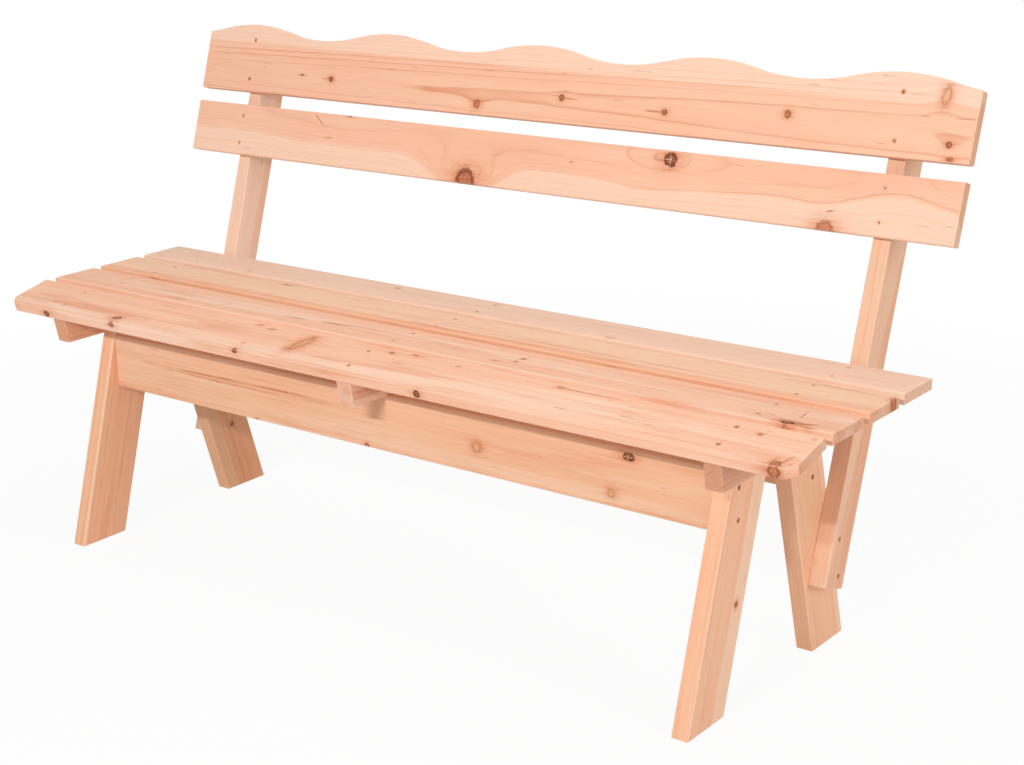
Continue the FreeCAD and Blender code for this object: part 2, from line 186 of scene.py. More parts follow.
wood = {  # lengths in mm
    "heartwood": colour(250, 202, 173),
    "rosyHeartwood": colour(247, 190, 160),
    "sapwood": colour(252, 217, 194),
    "lateLine": colour(214, 132, 92),
    "sapLine": colour(238, 182, 142),
    "streak": colour(226, 146, 104),
    "knotHalo": colour(204, 114, 66),
    "knotHeart": colour(236, 182, 144),
    "redKnot": colour(186, 104, 66),
    "darkKnot": colour(116, 58, 28),
    "bark": colour(98, 42, 16),
    "crack": colour(226, 186, 156),
    "fleck": colour(166, 92, 52),
    "smudge": colour(174, 98, 56),
    # painted shade on the screw holes' walls
    "holeWall": colour(122, 74, 48),
    "lineStrength": 0.85,
    "ringUnevenness": 1.2,
    "unevenSteps": 60.0,
    "sapwoodStrength": 0.92,
    "sapwoodRaggedness": 8,
    "sapwoodEdge": (2, 6),
    "threadStrength": 0.6,
    "haloStrength": 0.9,
    "haloReach": (0.48, 0.66, 0.66),
    "pushReach": (0.22, 0.42, 0.3),
    "knotRaggedness": 0.75,
    "knotRoughness": 120.0,
    "knotRings": 2.6,
    "knotMottle": 420.0,
    "knotDepth": 80,
    "smudgeStrength": 0.85,
    "smudgeSpread": 1.35,
    "smudgeDepth": 20,
    "arrisEdge": (-2.2, -0.4),
    "arrisStrength": 0.35,
    "endGrainStrength": 0.8,
    "roughness": 0.62,
    "sheen": 0.35,
    "relief": 0.4,
    "reliefHeight": 0.4,
}
noiseMiddle = (0.5, 0.5, 0.5)
# Patterns in the wood: turns to the metre along and across the grain, detail and roughness of the noise, then
# for most of them the noise's values where they set in and are full, and the least strength.
patterns = {
    "slowWander": (1.6, 5, 1, 0.5), "quickWander": (7, 18, 2, 0.5), "sapwoodEdge": (2.5, 10, 2, 0.5),
    "fibre": (12, 520, 2, 0.6), "pore": (300, 900, 2, 0.5), "linePatch": (5, 40, 2, 0.5, 0.3, 0.7, 0.4),
    "flush": (1.8, 16, 3, 0.5, 0.32, 0.68), "cream": (1.2, 26, 3, 0.5, 0.45, 0.62),
    "streakPatch": (3, 22, 2, 0.5, 0.36, 0.62, 0.25), "streak": (4, 62, 4, 0.62, 0.45, 0.74),
    "speck": (20, 320, 1, 0.5, 0.73, 0.8), "thread": (9, 300, 2, 0.5, 0.66, 0.74),
    "threadClump": (6, 24, 1, 0.5, 0.55, 0.7), "glowStreak": (14, 260, 2, 0.5, 0.3, 0.7, 0.5),
}


# A knot is a long ellipsoid. Each one passes on the nearest so far, the halos and how far the rings give way.
def makeKnotGroup():
    passedOn = {"Nearest Spot": "Vector", "Nearest Darkness": "Float", "Halo": "Float", "Total Push": "Float"}
    own = {"Spot": "Vector", "Ragged": "Vector", "Darkness": "Float", "Push": "Float"}
    tree, given, result = newGroup("knot", "ShaderNodeTree", {**own, **passedOn}, passedOn)
    spot = vectors(tree, "ADD", given["Spot"], given["Ragged"])
    nearer = calc(tree, "LESS_THAN", sizeOf(tree, spot), sizeOf(tree, given["Nearest Spot"]))
    tree.links.new(lerpVector(tree, nearer, given["Nearest Spot"], spot), result["Nearest Spot"])
    tree.links.new(lerp(tree, nearer, given["Nearest Darkness"], given["Darkness"]), result["Nearest Darkness"])
    glow = bell(tree, sizeOf(tree, vectors(tree, "MULTIPLY", spot, wood["haloReach"])))
    tree.links.new(calc(tree, "MAXIMUM", glow, given["Halo"]), result["Halo"])
    reach = bell(tree, sizeOf(tree, vectors(tree, "MULTIPLY", given["Spot"], wood["pushReach"])))
    tree.links.new(timesPlus(tree, reach, given["Push"], given["Total Push"]), result["Total Push"])
    return tree


# Growth rings run round a pith line near the board, and the sawn faces cut them as they come.
def makeWoodGroup():
    numbers = dict.fromkeys((
        "Pith Across", "Pith Depth", "Ring Width", "Ring Phase", "Taper", "Wander", "Sapwood Radius",
        "Sapwood Taper", "Lines", "Rosiness", "Creaminess", "Streaks", "Flecks", "Seed", "Knot Darkness",
        "Knot Halo", "Smudge", "Push", "End Grain", "Arris", "Hole",
    ), "Float")
    tree, given, result = newGroup("sawnFir", "ShaderNodeTree", {
        "Place": "Vector", "Knot Spot": "Vector", "Tint": "Color", **numbers,
    }, {"Color": "Color", "Roughness": "Float", "Height": "Float"})
    place, seed = given["Place"], given["Seed"]
    shift = joined(tree, seed, seed, seed)

    def grainNoise(name, output="Fac"):
        lengthwise, across, detail, roughness = patterns[name][:4]
        stretched = vectors(tree, "ADD", vectors(tree, "MULTIPLY", place, (lengthwise, across, across)), shift)
        return noise(tree, stretched, 1.0, detail, roughness, output)

    def pattern(name):
        return ease(tree, grainNoise(name), *patterns[name][4:])

    # the rings wander along the board
    slow = vectors(tree, "SUBTRACT", grainNoise("slowWander", "Color"), noiseMiddle)
    quick = vectors(tree, "SUBTRACT", grainNoise("quickWander", "Color"), noiseMiddle)
    wander = scaled(tree, vectors(tree, "ADD", scaled(tree, slow, 2.0), scaled(tree, quick, 0.5)), given["Wander"])
    pith = joined(tree, 0.0, given["Pith Across"], given["Pith Depth"])
    section = vectors(tree, "ADD", vectors(tree, "SUBTRACT", place, pith), wander)
    spread = sizeOf(tree, vectors(tree, "MULTIPLY", section, (0.0, 1.0, 1.0)))
    spread = minus(tree, spread, given["Push"])
    length = parts(tree, place)["X"]
    radius = timesPlus(tree, length, given["Taper"], spread)

    # rings of uneven strength, each darkening to its outer side
    steps = joined(tree, timesPlus(tree, radius, wood["unevenSteps"], seed), 0.0, 0.0)
    uneven = times(tree, noise(tree, steps, 1.0, 1.0), wood["ringUnevenness"])
    count = plus(tree, over(tree, radius, given["Ring Width"]), given["Ring Phase"])
    count = plus(tree, count, uneven)
    part = calc(tree, "FRACT", count)
    ringNumber = plus(tree, calc(tree, "FLOOR", count), seed)
    strength = add(tree, "ShaderNodeTexWhiteNoise", {"W": ringNumber}, noise_dimensions="1D").outputs["Value"]
    darkening = timesPlus(tree, ease(tree, part, 0.2, 0.9), 0.14, times(tree, ease(tree, part, 0.77, 0.95), 0.86))
    darkening = times(tree, darkening, ease(tree, part, 0.95, 1.0, 1.0, 0.0))
    line = times(tree, darkening, lerp(tree, strength, 0.3, 1.0), pattern("linePatch"), given["Lines"])

    # heartwood inside, sapwood outside
    ragged = timesPlus(tree, grainNoise("sapwoodEdge"), wood["sapwoodRaggedness"] * mm, spread)
    ragged = timesPlus(tree, length, given["Sapwood Taper"], ragged)
    inner, outer = wood["sapwoodEdge"]
    sapwood = ease(tree, minus(tree, ragged, given["Sapwood Radius"]), inner * mm, outer * mm)
    flush = times(tree, pattern("flush"), given["Rosiness"])
    shade = blend(tree, flush, wood["heartwood"], wood["rosyHeartwood"])
    shade = blend(tree, times(tree, pattern("cream"), given["Creaminess"]), shade, wood["sapwood"])
    shade = blend(tree, times(tree, sapwood, wood["sapwoodStrength"]), shade, wood["sapwood"])
    lineShade = blend(tree, sapwood, wood["lateLine"], wood["sapLine"])
    shade = blend(tree, times(tree, line, wood["lineStrength"]), shade, lineShade)

    # orange streaks, fibres and small dark flecks along the grain
    streak = times(tree, pattern("streak"), pattern("streakPatch"))
    shade = blend(tree, times(tree, streak, given["Streaks"], lerp(tree, sapwood, 1.0, 0.5)), shade, wood["streak"])
    fibre = grainNoise("fibre")
    shade = blend(tree, 1.0, shade, blend(tree, fibre, colour(240, 234, 228), white), "MULTIPLY")
    shade = blend(tree, times(tree, pattern("speck"), given["Flecks"]), shade, wood["fleck"])
    thread = times(tree, pattern("thread"), pattern("threadClump"), given["Flecks"], wood["threadStrength"])
    shade = blend(tree, thread, shade, wood["redKnot"])

    # knots: a glow drawn out along the grain, a ringed heart, a dark rim, and cracks in the dead ones
    distance = sizeOf(tree, given["Knot Spot"])
    glowStreak = pattern("glowStreak")
    shade = blend(tree, times(tree, given["Knot Halo"], glowStreak, wood["haloStrength"]), shade, wood["knotHalo"])
    mark = ease(tree, times(tree, given["Smudge"], glowStreak), 0.04, 0.6, 0.0, wood["smudgeStrength"])
    shade = blend(tree, mark, shade, blend(tree, mark, wood["knotHalo"], wood["smudge"]))
    darkness = given["Knot Darkness"]
    heart = blend(tree, ease(tree, darkness, 0.0, 0.22), wood["knotHeart"], wood["redKnot"])
    heart = blend(tree, ease(tree, darkness, 0.25, 0.75), heart, wood["darkKnot"])
    knotRing = calc(tree, "PINGPONG", times(tree, distance, wood["knotRings"]), 0.5)
    heart = blend(tree, times(tree, knotRing, 1.1), heart, blend(tree, 0.6, heart, wood["redKnot"]))
    mottle = noise(tree, place, wood["knotMottle"], 2.0)
    heart = blend(tree, ease(tree, mottle, 0.42, 0.72, 0.0, 0.4), heart, wood["knotHeart"])
    inside = ease(tree, distance, 0.8, 1.05, 1.0, 0.0)
    shade = blend(tree, inside, shade, heart)
    rim = times(tree, ease(tree, distance, 0.55, 0.82), ease(tree, distance, 0.95, 1.2, 1.0, 0.0))
    rim = times(tree, rim, ease(tree, mottle, 0.3, 0.55, 0.4, 1.0), ease(tree, darkness, 0.0, 0.7, 0.5, 0.95))
    shade = blend(tree, rim, shade, blend(tree, ease(tree, darkness, 0.0, 0.3), wood["redKnot"], wood["bark"]))
    spot = parts(tree, vectors(tree, "ABSOLUTE", given["Knot Spot"]))
    check = ease(tree, calc(tree, "MINIMUM", spot["X"], spot["Y"]), 0.03, 0.14, 1.0, 0.0)
    dead = ease(tree, darkness, 0.8, 0.85)
    shade = blend(tree, times(tree, check, inside, dead, ease(tree, mottle, 0.4, 0.6)), shade, wood["crack"])

    # end grain drinks in the light, sanded arrises are paler, and the screw holes' walls are darkened with painted
    # shade
    pores = grainNoise("pore")
    endShade = blend(tree, 1.0, shade, blend(tree, pores, colour(216, 200, 188), colour(255, 250, 245)), "MULTIPLY")
    shade = blend(tree, times(tree, given["End Grain"], wood["endGrainStrength"]), shade, endShade)
    shade = blend(tree, times(tree, given["Arris"], wood["arrisStrength"]), shade, wood["sapwood"])
    shade = blend(tree, given["Hole"], shade, wood["holeWall"])
    shade = blend(tree, 1.0, shade, given["Tint"], "MULTIPLY")
    tree.links.new(shade, result["Color"])

    rough = timesPlus(tree, fibre, 0.12, wood["roughness"] - 0.06)
    rough = timesPlus(tree, line, -0.08, rough)
    tree.links.new(timesPlus(tree, given["End Grain"], 0.15, rough), result["Roughness"])

    height = timesPlus(tree, line, 0.5, times(tree, fibre, 0.5))
    height = timesPlus(tree, inside, 0.6, height)
    height = timesPlus(tree, rim, -1.0, height)
    height = timesPlus(tree, times(tree, pores, given["End Grain"]), 0.6, height)
    tree.links.new(height, result["Height"])
    return tree


knotGroup = makeKnotGroup()
woodGroup = makeWoodGroup()


def turnOf(facts):
    return Matrix((facts["grain"], facts["face"].cross(facts["grain"]), facts["face"])).transposed()


def boxOf(name, turn):  # a board's middle and half sizes along its own ways
    corners = [turn.transposed() @ vertex.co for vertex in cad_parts[name].data.vertices]
    low, high = (Vector([limit(values) for values in zip(*corners)]) for limit in (min, max))
    return (low + high) / 2, (high - low) / 2


def woodMaterial(name, facts, seed):
    turn = turnOf(facts)
    middle, half = boxOf(name, turn)
    material, tree = newMaterial(name + "_wood")
    source = add(tree, "ShaderNodeTexCoord").outputs
    place = add(tree, "ShaderNodeMapping", {
        "Vector": source["Object"], "Location": turn @ middle, "Rotation": turn.to_euler(),
    }, vector_type="TEXTURE").outputs[0]
    length = parts(tree, place)["X"]

    # knots that go through the board, then those that show on its lower edge only
    ragged = noise(tree, place, wood["knotRoughness"], 2.0, 0.5, "Color")
    ragged = scaled(tree, vectors(tree, "SUBTRACT", ragged, noiseMiddle), wood["knotRaggedness"])
    through = [
        ((u, v, half.z / mm), (halfAlong, halfAcross, wood["knotDepth"]), turned, dark, push)
        for u, v, halfAlong, halfAcross, turned, dark, push in facts["knots"]
    ]
    through += [
        ((u, -half.y / mm, w), (halfAlong, inwards, halfUp), 0, dark, push)
        for u, w, halfAlong, halfUp, inwards, dark, push in facts["edgeKnots"]
    ]
    farAway = (99.0, 99.0, 99.0)
    nearest, darkness, halo, give = farAway, 0.0, 0.0, 0.0
    for spotPlace, size, turned, dark, push in through:
        spot = add(tree, "ShaderNodeMapping", {
            "Vector": place, "Location": Vector(spotPlace) * mm, "Scale": Vector(size) * mm,
            "Rotation": (0, 0, radians(turned)),
        }, vector_type="TEXTURE").outputs[0]
        nearest, darkness, halo, give = useGroup(tree, knotGroup, {
            "Spot": spot, "Ragged": ragged, "Darkness": dark, "Push": push * mm, "Nearest Spot": nearest,
            "Nearest Darkness": darkness, "Halo": halo, "Total Push": give,
        })
    smudge = 0.0
    for u, v, halfAlong, halfAcross, turned, strength in facts["smudges"]:
        spot = add(tree, "ShaderNodeMapping", {
            "Vector": place, "Location": (u * mm, v * mm, half.z), "Rotation": (0, 0, radians(turned)),
            "Scale": (halfAlong * mm, wood["smudgeSpread"] * halfAcross * mm, wood["smudgeDepth"] * mm),
        }, vector_type="TEXTURE").outputs[0]
        away = sizeOf(tree, vectors(tree, "ADD", spot, ragged))
        soft = times(tree, bell(tree, times(tree, away, away)), strength)
        smudge = calc(tree, "MAXIMUM", soft, smudge)
    for u, reach, push in facts["bends"]:
        far = over(tree, minus(tree, length, u * mm), reach * mm)
        give = timesPlus(tree, bell(tree, far), push * mm, give)

    lie = calc(tree, "ABSOLUTE", vectors(tree, "DOT_PRODUCT", source["Normal"], facts["grain"]))
    endGrain = ease(tree, lie, 0.75, 0.95)
    apart = vectors(tree, "SUBTRACT", vectors(tree, "ABSOLUTE", place), half)
    sides = parts(tree, apart)
    rimDistance = calc(tree, "MINIMUM", sides["Y"], sides["Z"])
    arris = ease(tree, rimDistance, *(edge * mm for edge in wood["arrisEdge"]))
    facing = calc(tree, "ABSOLUTE", vectors(tree, "DOT_PRODUCT", source["Normal"], facts["face"]))
    # painted shade on the countersinks' walls round the screws
    hole = times(tree, ease(tree, facing, 0.3, 0.5), ease(tree, facing, 0.85, 0.95, 1.0, 0.0))
    margin = facts["holeMargin"] * mm
    fromRim = calc(tree, "MAXIMUM", sides["X"], sides["Y"])
    hole = times(tree, hole, ease(tree, fromRim, -margin - mm, -margin, facts["holeWall"], 0.0))

    outputs = useGroup(tree, woodGroup, {
        "Place": place, "Pith Across": facts["pith"][0] * mm, "Pith Depth": facts["pith"][1] * mm,
        "Ring Width": facts["ring"] * mm, "Ring Phase": facts["phase"], "Taper": facts["taper"] * mm,
        "Wander": facts["wander"] * mm, "Sapwood Radius": facts["sapwood"] * mm,
        "Sapwood Taper": facts["sapwoodTaper"] * mm, "Lines": facts["lines"], "Rosiness": facts["rosy"],
        "Creaminess": facts["creamy"], "Streaks": facts["streaks"], "Flecks": facts["flecks"], "Seed": seed,
        "Knot Spot": nearest, "Knot Darkness": darkness, "Knot Halo": halo, "Smudge": smudge, "Push": give,
        "End Grain": endGrain, "Arris": arris, "Hole": hole, "Tint": facts["tint"],
    })
    bump = add(tree, "ShaderNodeBump", {
        "Height": outputs["Height"], "Strength": wood["relief"], "Distance": wood["reliefHeight"] * mm,
    })
    shader = add(tree, "ShaderNodeBsdfPrincipled", {
        "Base Color": outputs["Color"], "Roughness": outputs["Roughness"], "Normal": bump.outputs[0],
        "Specular IOR Level": wood["sheen"],
    })
    add(tree, "ShaderNodeOutputMaterial", {"Surface": shader.outputs[0]})
    return material


# Every board says which way its grain runs and its face looks, and where the tree's pith lies from its
# middle (across, depth), in mm. Tapers are mm in a metre. A knot has its place (along, across), its half
# sizes, its turn in degrees, its darkness from 0 to 1 and how far it pushes the rings aside. A knot in the
# lower edge has its place (along, up), half sizes (along, up, inwards), darkness and push. A smudge has its
# place, half sizes, turn and strength. A bend has its place along, its reach and how far it moves the rings.
# Screw holes' walls are darkened with painted shade, as much as the board's strength for it says, but for any
# within holeMargin of the board's rim.
plainBoard = {
    "pith": (-60, -50), "ring": 7, "phase": 0, "taper": -6, "wander": 7, "sapwood": 95, "sapwoodTaper": 0,
    "lines": 0.8, "rosy": 0.5, "creamy": 0.25, "streaks": 0.25, "flecks": 0.5, "tint": white,
    "holeWall": 0.7, "holeMargin": 6, "knots": [], "edgeKnots": [], "smudges": [], "bends": [],
}
seedStep = 7.31


def dress(stage, boards, firstNumber):  # a board's number gives it a pattern of its own
    for number, (name, board) in enumerate(boards.items(), firstNumber):
        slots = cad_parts[name].data.materials
        slots.clear()
        slots.append(woodMaterial(name, {**plainBoard, **board}, seedStep * number))
    print(stage, "dressed")


topRail = {
    "grain": along, "face": offTheBack, "pith": (-24.5, -34.5), "ring": 7.2, "phase": -0.12, "taper": -8.3,
    "wander": 3, "sapwood": 65.5, "sapwoodTaper": 6, "lines": 1.15, "rosy": 0.4, "creamy": 0.0, "streaks": 0.15,
    "holeMargin": 23.5, "holeWall": 0.35,
    "knots": [
        (-436, -25, 4.8, 4.8, 0, 0.45, 1.5), (-505, -22, 5, 1.4, 0, 0.5, 0), (-111, -43, 6.3, 6.6, 0, 0.2, 2),
        (55, -20, 4.4, 5.2, 0, 0.45, 1.5), (249, -28, 4.8, 4.6, 0, 0.45, 1.5),
        (458, -14, 5.4, 5.6, 0, 0.24, 1.5), (697, 31, 5.2, 13, -8, 0.0, 6), (713, -36, 4.4, 4.6, 0, 0.45, 1.5),
        (718, -56, 5, 3, 0, 0.2, 1),
    ],
    "smudges": [
        (228, -28, 16, 1.6, 0, 0.5), (70, -21, 16, 1.4, 0, 0.5), (40, -18, 10, 1.2, 0, 0.4),
        (-450, -25, 12, 1.4, 0, 0.4), (697, 31, 10, 16, -8, 0.3), (725, -34, 12, 1.5, 10, 0.3),
        (660, 30, 25, 1.5, 0, 0.25),
    ],
}
lowerRail = {
    "grain": along, "face": offTheBack, "pith": (40, -60), "taper": 3, "wander": 12, "sapwood": 86,
    "rosy": 0.6, "creamy": 0.1, "streaks": 0.15, "flecks": 0.35, "holeWall": 0.35,
    "knots": [
        (-108, -37, 18, 15.5, 0, 0.4, 44), (275, 31, 11, 11, 0, 0.85, 9), (549, -44, 13, 13, 0, 0.16, 9),
        (-379, 45, 6, 2.5, 0, 0.95, 4),
    ],
    "smudges": [
        (-114, -38, 20, 19, 0, 0.6), (-447, 32, 18, 0.9, -38, 0.6), (553, -17, 8, 1.0, 15, 0.6),
        (549, -40, 15, 14, 0, 0.3), (-50, 8, 14, 1.0, 10, 0.4), (95, 10, 7, 1.2, 5, 0.5),
        (-420, 3, 14, 1.0, 3, 0.4), (733, -20, 9, 0.8, 10, 0.4), (275, 31, 16, 14, 0, 0.35),
        (390, 34, 18, 0.9, -6, 0.35), (425, 36, 16, 0.9, 3, 0.35),
    ],
    "bends": [(657, 110, -12), (440, 80, -4), (-620, 220, -8), (230, 60, 5)],
}
dress("back rails", {"top_back_rail": topRail, "lower_back_rail": lowerRail}, 1)

frontSlat = {
    "grain": along, "face": offTheNose, "pith": (-14, -52), "ring": 9, "taper": 5, "wander": 9, "sapwood": 200,
    "lines": 0.35, "creamy": 0.9, "streaks": 0.7, "flecks": 0.8, "holeWall": 0.35,
    "knots": [
        (-495, -27, 9, 5, 15, 0.28, 3), (-117, 11, 8, 23, -22, 0.08, 5), (723, -39, 7, 9, -22, 0.27, 5),
        (43, 33, 3.5, 2.4, 0, 0.3, 1), (83, 41, 3.5, 2.4, 0, 0.3, 0.5), (670, 19, 3, 2.6, 0, 0.2, 1),
        (349, 33, 4, 3, 0, 0.12, 0.5),
    ],
    "edgeKnots": [
        (-655, -1, 6, 5, 6, 0.8, 2), (-494, 5, 6, 4, 9, 0.4, 2), (-213, 6, 5, 4, 6, 0.7, 2),
        (148, 0, 6, 6, 6, 0.7, 2), (722, 1, 10, 8, 12, 0.25, 4),
    ],
    "smudges": [
        (-230, 36, 14, 2.2, 12, 0.5), (-200, 31, 12, 3, 8, 0.45), (-216, 40, 20, 1.4, 0, 0.35),
        (-655, -17, 9, 3, 0, 0.45), (-213, -21, 8, 2.5, 0, 0.4), (168, 33, 7, 2.5, 0, 0.4),
        (96, 39, 12, 1.4, 0, 0.4), (405, 32, 62, 1.2, 0, 0.75), (530, 27, 40, 1.0, 2, 0.3),
        (-380, -9, 110, 1.1, 1, 0.45), (-52, -17, 45, 1.2, 0, 0.45), (-128, -14, 12, 5, 0, 0.5),
        (716, -31, 14, 1.8, 62, 0.5), (731, -27, 15, 2, 66, 0.6), (741, -32, 10, 1.5, 50, 0.45),
        (632, -16, 4, 2, 0, 0.3), (-117, 11, 13, 27, -22, 0.35), (-130, -13, 14, 3, 5, 0.5),
        (740, 32, 5, 5, 0, 0.4), (250, 22, 60, 1.5, 1, 0.2),
    ],
}
secondSlat = {
    "grain": along, "face": upright, "pith": (-20, -44), "taper": -5, "wander": 8, "sapwood": 200,
    "lines": 0.25, "rosy": 0.35, "creamy": 0.95, "streaks": 0.7, "flecks": 0.8, "holeWall": 0.35,
    "knots": [(681, -37, 9, 6, 0, 0.76, 4), (225, 7, 4, 2.8, 25, 0.5, 1.5), (224, -10, 3, 2.4, 0, 0.4, 1)],
    "smudges": [
        (655, -22, 22, 1.4, -18, 0.5), (690, -26, 26, 1.2, -12, 0.5), (195, -22, 14, 3, 8, 0.5),
        (-135, -2, 34, 3, 2, 0.55), (-212, -10, 30, 3.2, 4, 0.5), (684, 2, 26, 1.6, 98, 0.45),
        (-52, -10, 40, 1.6, 0, 0.3), (-366, -8, 14, 3, 50, 0.4), (-620, -7, 8, 2, -20, 0.5),
        (-462, -26, 28, 5, 5, 0.3), (684, -35, 22, 11, 0, 0.45), (704, -31, 18, 3, 20, 0.75),
        (706, -40, 20, 2.5, -5, 0.7), (664, -34, 10, 2, 0, 0.4), (-30, 3, 60, 9, 0, 0.12),
        (470, 10, 90, 1.4, 0, 0.2),
    ],
}
thirdSlat = {
    "grain": along, "face": upright, "pith": (-90, -30), "taper": 5, "sapwood": 76,
    "lines": 0.35, "rosy": 0.7, "creamy": 0.65, "streaks": 0.8, "holeWall": 0.35,
    "tint": colour(253, 248, 240),
    "knots": [(-372, 42, 8, 4, 0, 0.5, 3), (750, 27, 4, 8, 0, 0.15, 2)],
    "smudges": [
        (290, -13, 420, 5, 0.2, 0.3), (650, 32, 90, 1.2, 0, 0.45), (-372, 40, 16, 7, 0, 0.4),
        (-80, -10, 70, 2.5, 0, 0.2),
    ],
}
rearSlat = {
    "grain": along, "face": upright, "pith": (72, -60), "ring": 8, "sapwood": 62,
    "lines": 0.4, "rosy": 0.35, "creamy": 0.5, "streaks": 0.5, "holeWall": 0.35,
    "smudges": [
        (-500, -25, 11, 4, -15, 0.45), (-200, 22, 9, 5, 0, 0.5), (265, -34, 12, 5, 0, 0.4),
        (8, 30, 12, 1.6, -20, 0.5), (255, 42, 40, 2.5, 0, 0.5), (-140, 43, 14, 2, 0, 0.5),
        (300, -40, 260, 3, 0, 0.12),
    ],
}
dress("seat slats", {
    "front_seat_slat": frontSlat, "second_seat_slat": secondSlat, "third_seat_slat": thirdSlat,
    "rear_seat_slat": rearSlat,
}, 3)

frontApron = {
    "grain": along, "face": forwards, "pith": (-95, -60), "ring": 8, "taper": 3, "wander": 6, "sapwood": 200,
    "lines": 0.4, "creamy": 0.65, "streaks": 0.55, "tint": colour(247, 244, 235),
    "knots": [
        (-27, -42, 4, 3.6, 0, 0.25, 1.5), (186, -4, 6.5, 8, 0, 0.03, 4), (451, 34, 8.5, 6, 0, 1.0, 3),
        (423, -25, 6, 6, 0, 0.05, 3), (-262, -45, 4, 3, 0, 0.2, 1),
    ],
    "smudges": [
        (-320, 12, 220, 2.0, 0.5, 0.5), (-330, 5, 180, 1.2, 0, 0.45), (-430, 17, 90, 1.0, 0, 0.35),
        (192, -4, 9, 9, 0, 0.35), (-420, 7, 60, 0.8, 0, 0.35), (300, 23, 150, 4, 0, 0.2),
        (186, -4, 10, 9, 0, 0.3), (420, 28, 40, 1.2, 0, 0.35), (350, -5, 20, 1.2, 0, 0.3),
        (-140, 10, 50, 1.6, 0, 0.35),
    ],
}
rearApron = {
    "grain": along, "face": forwards, "pith": (-40, 70), "sapwood": 90, "knots": [(-300, 15, 7, 6, 0, 0.5, 6)],
}
dress("aprons", {"front_apron": frontApron, "rear_apron": rearApron}, 7)

leftBearer = {"grain": deep, "face": along, "pith": (-50, -30), "tint": colour(240, 230, 222)}
centreBearer = {"grain": deep, "face": along, "pith": (-10, -40), "ring": 5, "creamy": 0.9, "rosy": 0.2}
rightBearer = {"grain": deep, "face": along, "pith": (35, -35), "ring": 6, "tint": colour(232, 222, 215)}
dress("bearers", {
    "left_seat_bearer": leftBearer, "centre_seat_bearer": centreBearer, "right_seat_bearer": rightBearer,
}, 9)

leftFrontLeg = {
    "grain": upFrontLeg, "face": along, "pith": (-30, -50), "sapwood": 94, "rosy": 0.45, "streaks": 0.4,
    "tint": colour(252, 243, 230),
}
rightFrontLeg = {
    "grain": upFrontLeg, "face": along, "pith": (85, -25), "ring": 8, "sapwood": 102, "lines": 0.35, "streaks": 0.3,
    "knots": [(-41, -24, 4, 4, 0, 0.4, 2)], "smudges": [(-5, -36, 7, 2.5, 0, 0.4), (-41, -24, 7, 7, 0, 0.35)],
    "tint": colour(255, 252, 245),
}
leftRearLeg = {
    "grain": upRearLeg, "face": along, "pith": (-40, -45), "ring": 8, "sapwood": 84,
    "knots": [(-88, -6, 4, 4, 0, 0.4, 2)], "tint": colour(239, 223, 202),
}
rightRearLeg = {
    "grain": upRearLeg, "face": along, "pith": (60, -30), "ring": 6, "sapwood": 104, "lines": 0.5, "rosy": 0.8,
    "tint": colour(254, 251, 240),
}
dress("legs", {
    "left_front_leg": leftFrontLeg, "right_front_leg": rightFrontLeg, "left_rear_leg": leftRearLeg,
    "right_rear_leg": rightRearLeg,
}, 12)

leftPost = {
    "grain": upTheBack, "face": along, "pith": (-30, 40), "sapwood": 30, "lines": 0.5, "rosy": 0.2, "creamy": 0.6,
}
rightPost = {
    "grain": upTheBack, "face": along, "pith": (-60, -20), "ring": 6, "sapwood": 64, "sapwoodTaper": 80,
    "lines": 0.7, "rosy": 0.6, "creamy": 0.4, "streaks": 0.4, "tint": colour(248, 240, 230),
}
dress("posts", {"left_back_post": leftPost, "right_back_post": rightPost}, 16)

screw = {  # lengths in mm; seatSides are the sides of the CAD's screws
    "headSides": 24, "shankSides": 10, "headDepth": 2.4, "shankRadius": 1.7, "sunk": 0.5, "rimHeight": 0.25,
    "threadPitch": 2.4, "threadDepth": 0.45, "tipLength": 5.0, "recessReach": 2.1, "recessWidth": 0.62,
    "recessDepth": 1.5, "tipGap": 0.2, "seed": 11, "seatSides": 10,
}

# each coat's recess colour is painted shade for the heads' cross recesses
yellowZinc = {
    "bright": colour(212, 142, 94), "dull": colour(138, 82, 48), "recess": colour(66, 34, 18),
    "roughness": (0.36, 0.56), "metallic": 0.45,
}
paleZinc = {
    "bright": colour(240, 186, 148), "dull": colour(204, 138, 98), "recess": colour(122, 70, 44),
    "roughness": (0.4, 0.6), "metallic": 0.35,
}
faintZinc = {**paleZinc, "recess": colour(166, 108, 76)}
coatPattern = {
    "fineCloud": 260.0, "wideCloud": 7.0, "scratch": (2400.0, 900.0, 1600.0), "relief": 0.25, "reliefHeight": 0.1,
}


def screwMaterial(name, zinc):
    material, tree = newMaterial(name)
    place = add(tree, "ShaderNodeTexCoord").outputs["Object"]
    wideCloud = times(tree, noise(tree, place, coatPattern["wideCloud"], 0.0), 0.6)
    cloud = timesPlus(tree, noise(tree, place, coatPattern["fineCloud"], 2.0), 0.4, wideCloud)
    scratch = noise(tree, vectors(tree, "MULTIPLY", place, coatPattern["scratch"]), 1.0, 2.0)
    tone = blend(tree, ease(tree, cloud, 0.35, 0.65), zinc["dull"], zinc["bright"])
    # painted shade: the marked recess rings take the darker recess colour
    recessShade = add(tree, "ShaderNodeAttribute", attribute_name="recess").outputs["Fac"]
    tone = blend(tree, ease(tree, recessShade, 0.0, 1.0), tone, zinc["recess"])
    low, high = zinc["roughness"]
    rough = ease(tree, scratch, 0.3, 0.7, low, high)
    bump = add(tree, "ShaderNodeBump", {
        "Height": scratch, "Strength": coatPattern["relief"], "Distance": coatPattern["reliefHeight"] * mm,
    })
    shader = add(tree, "ShaderNodeBsdfPrincipled", {
        "Base Color": tone, "Metallic": zinc["metallic"], "Roughness": rough, "Normal": bump.outputs[0],
    })
    add(tree, "ShaderNodeOutputMaterial", {"Surface": shader.outputs[0]})
    return material


mergeDistance = 0.00001


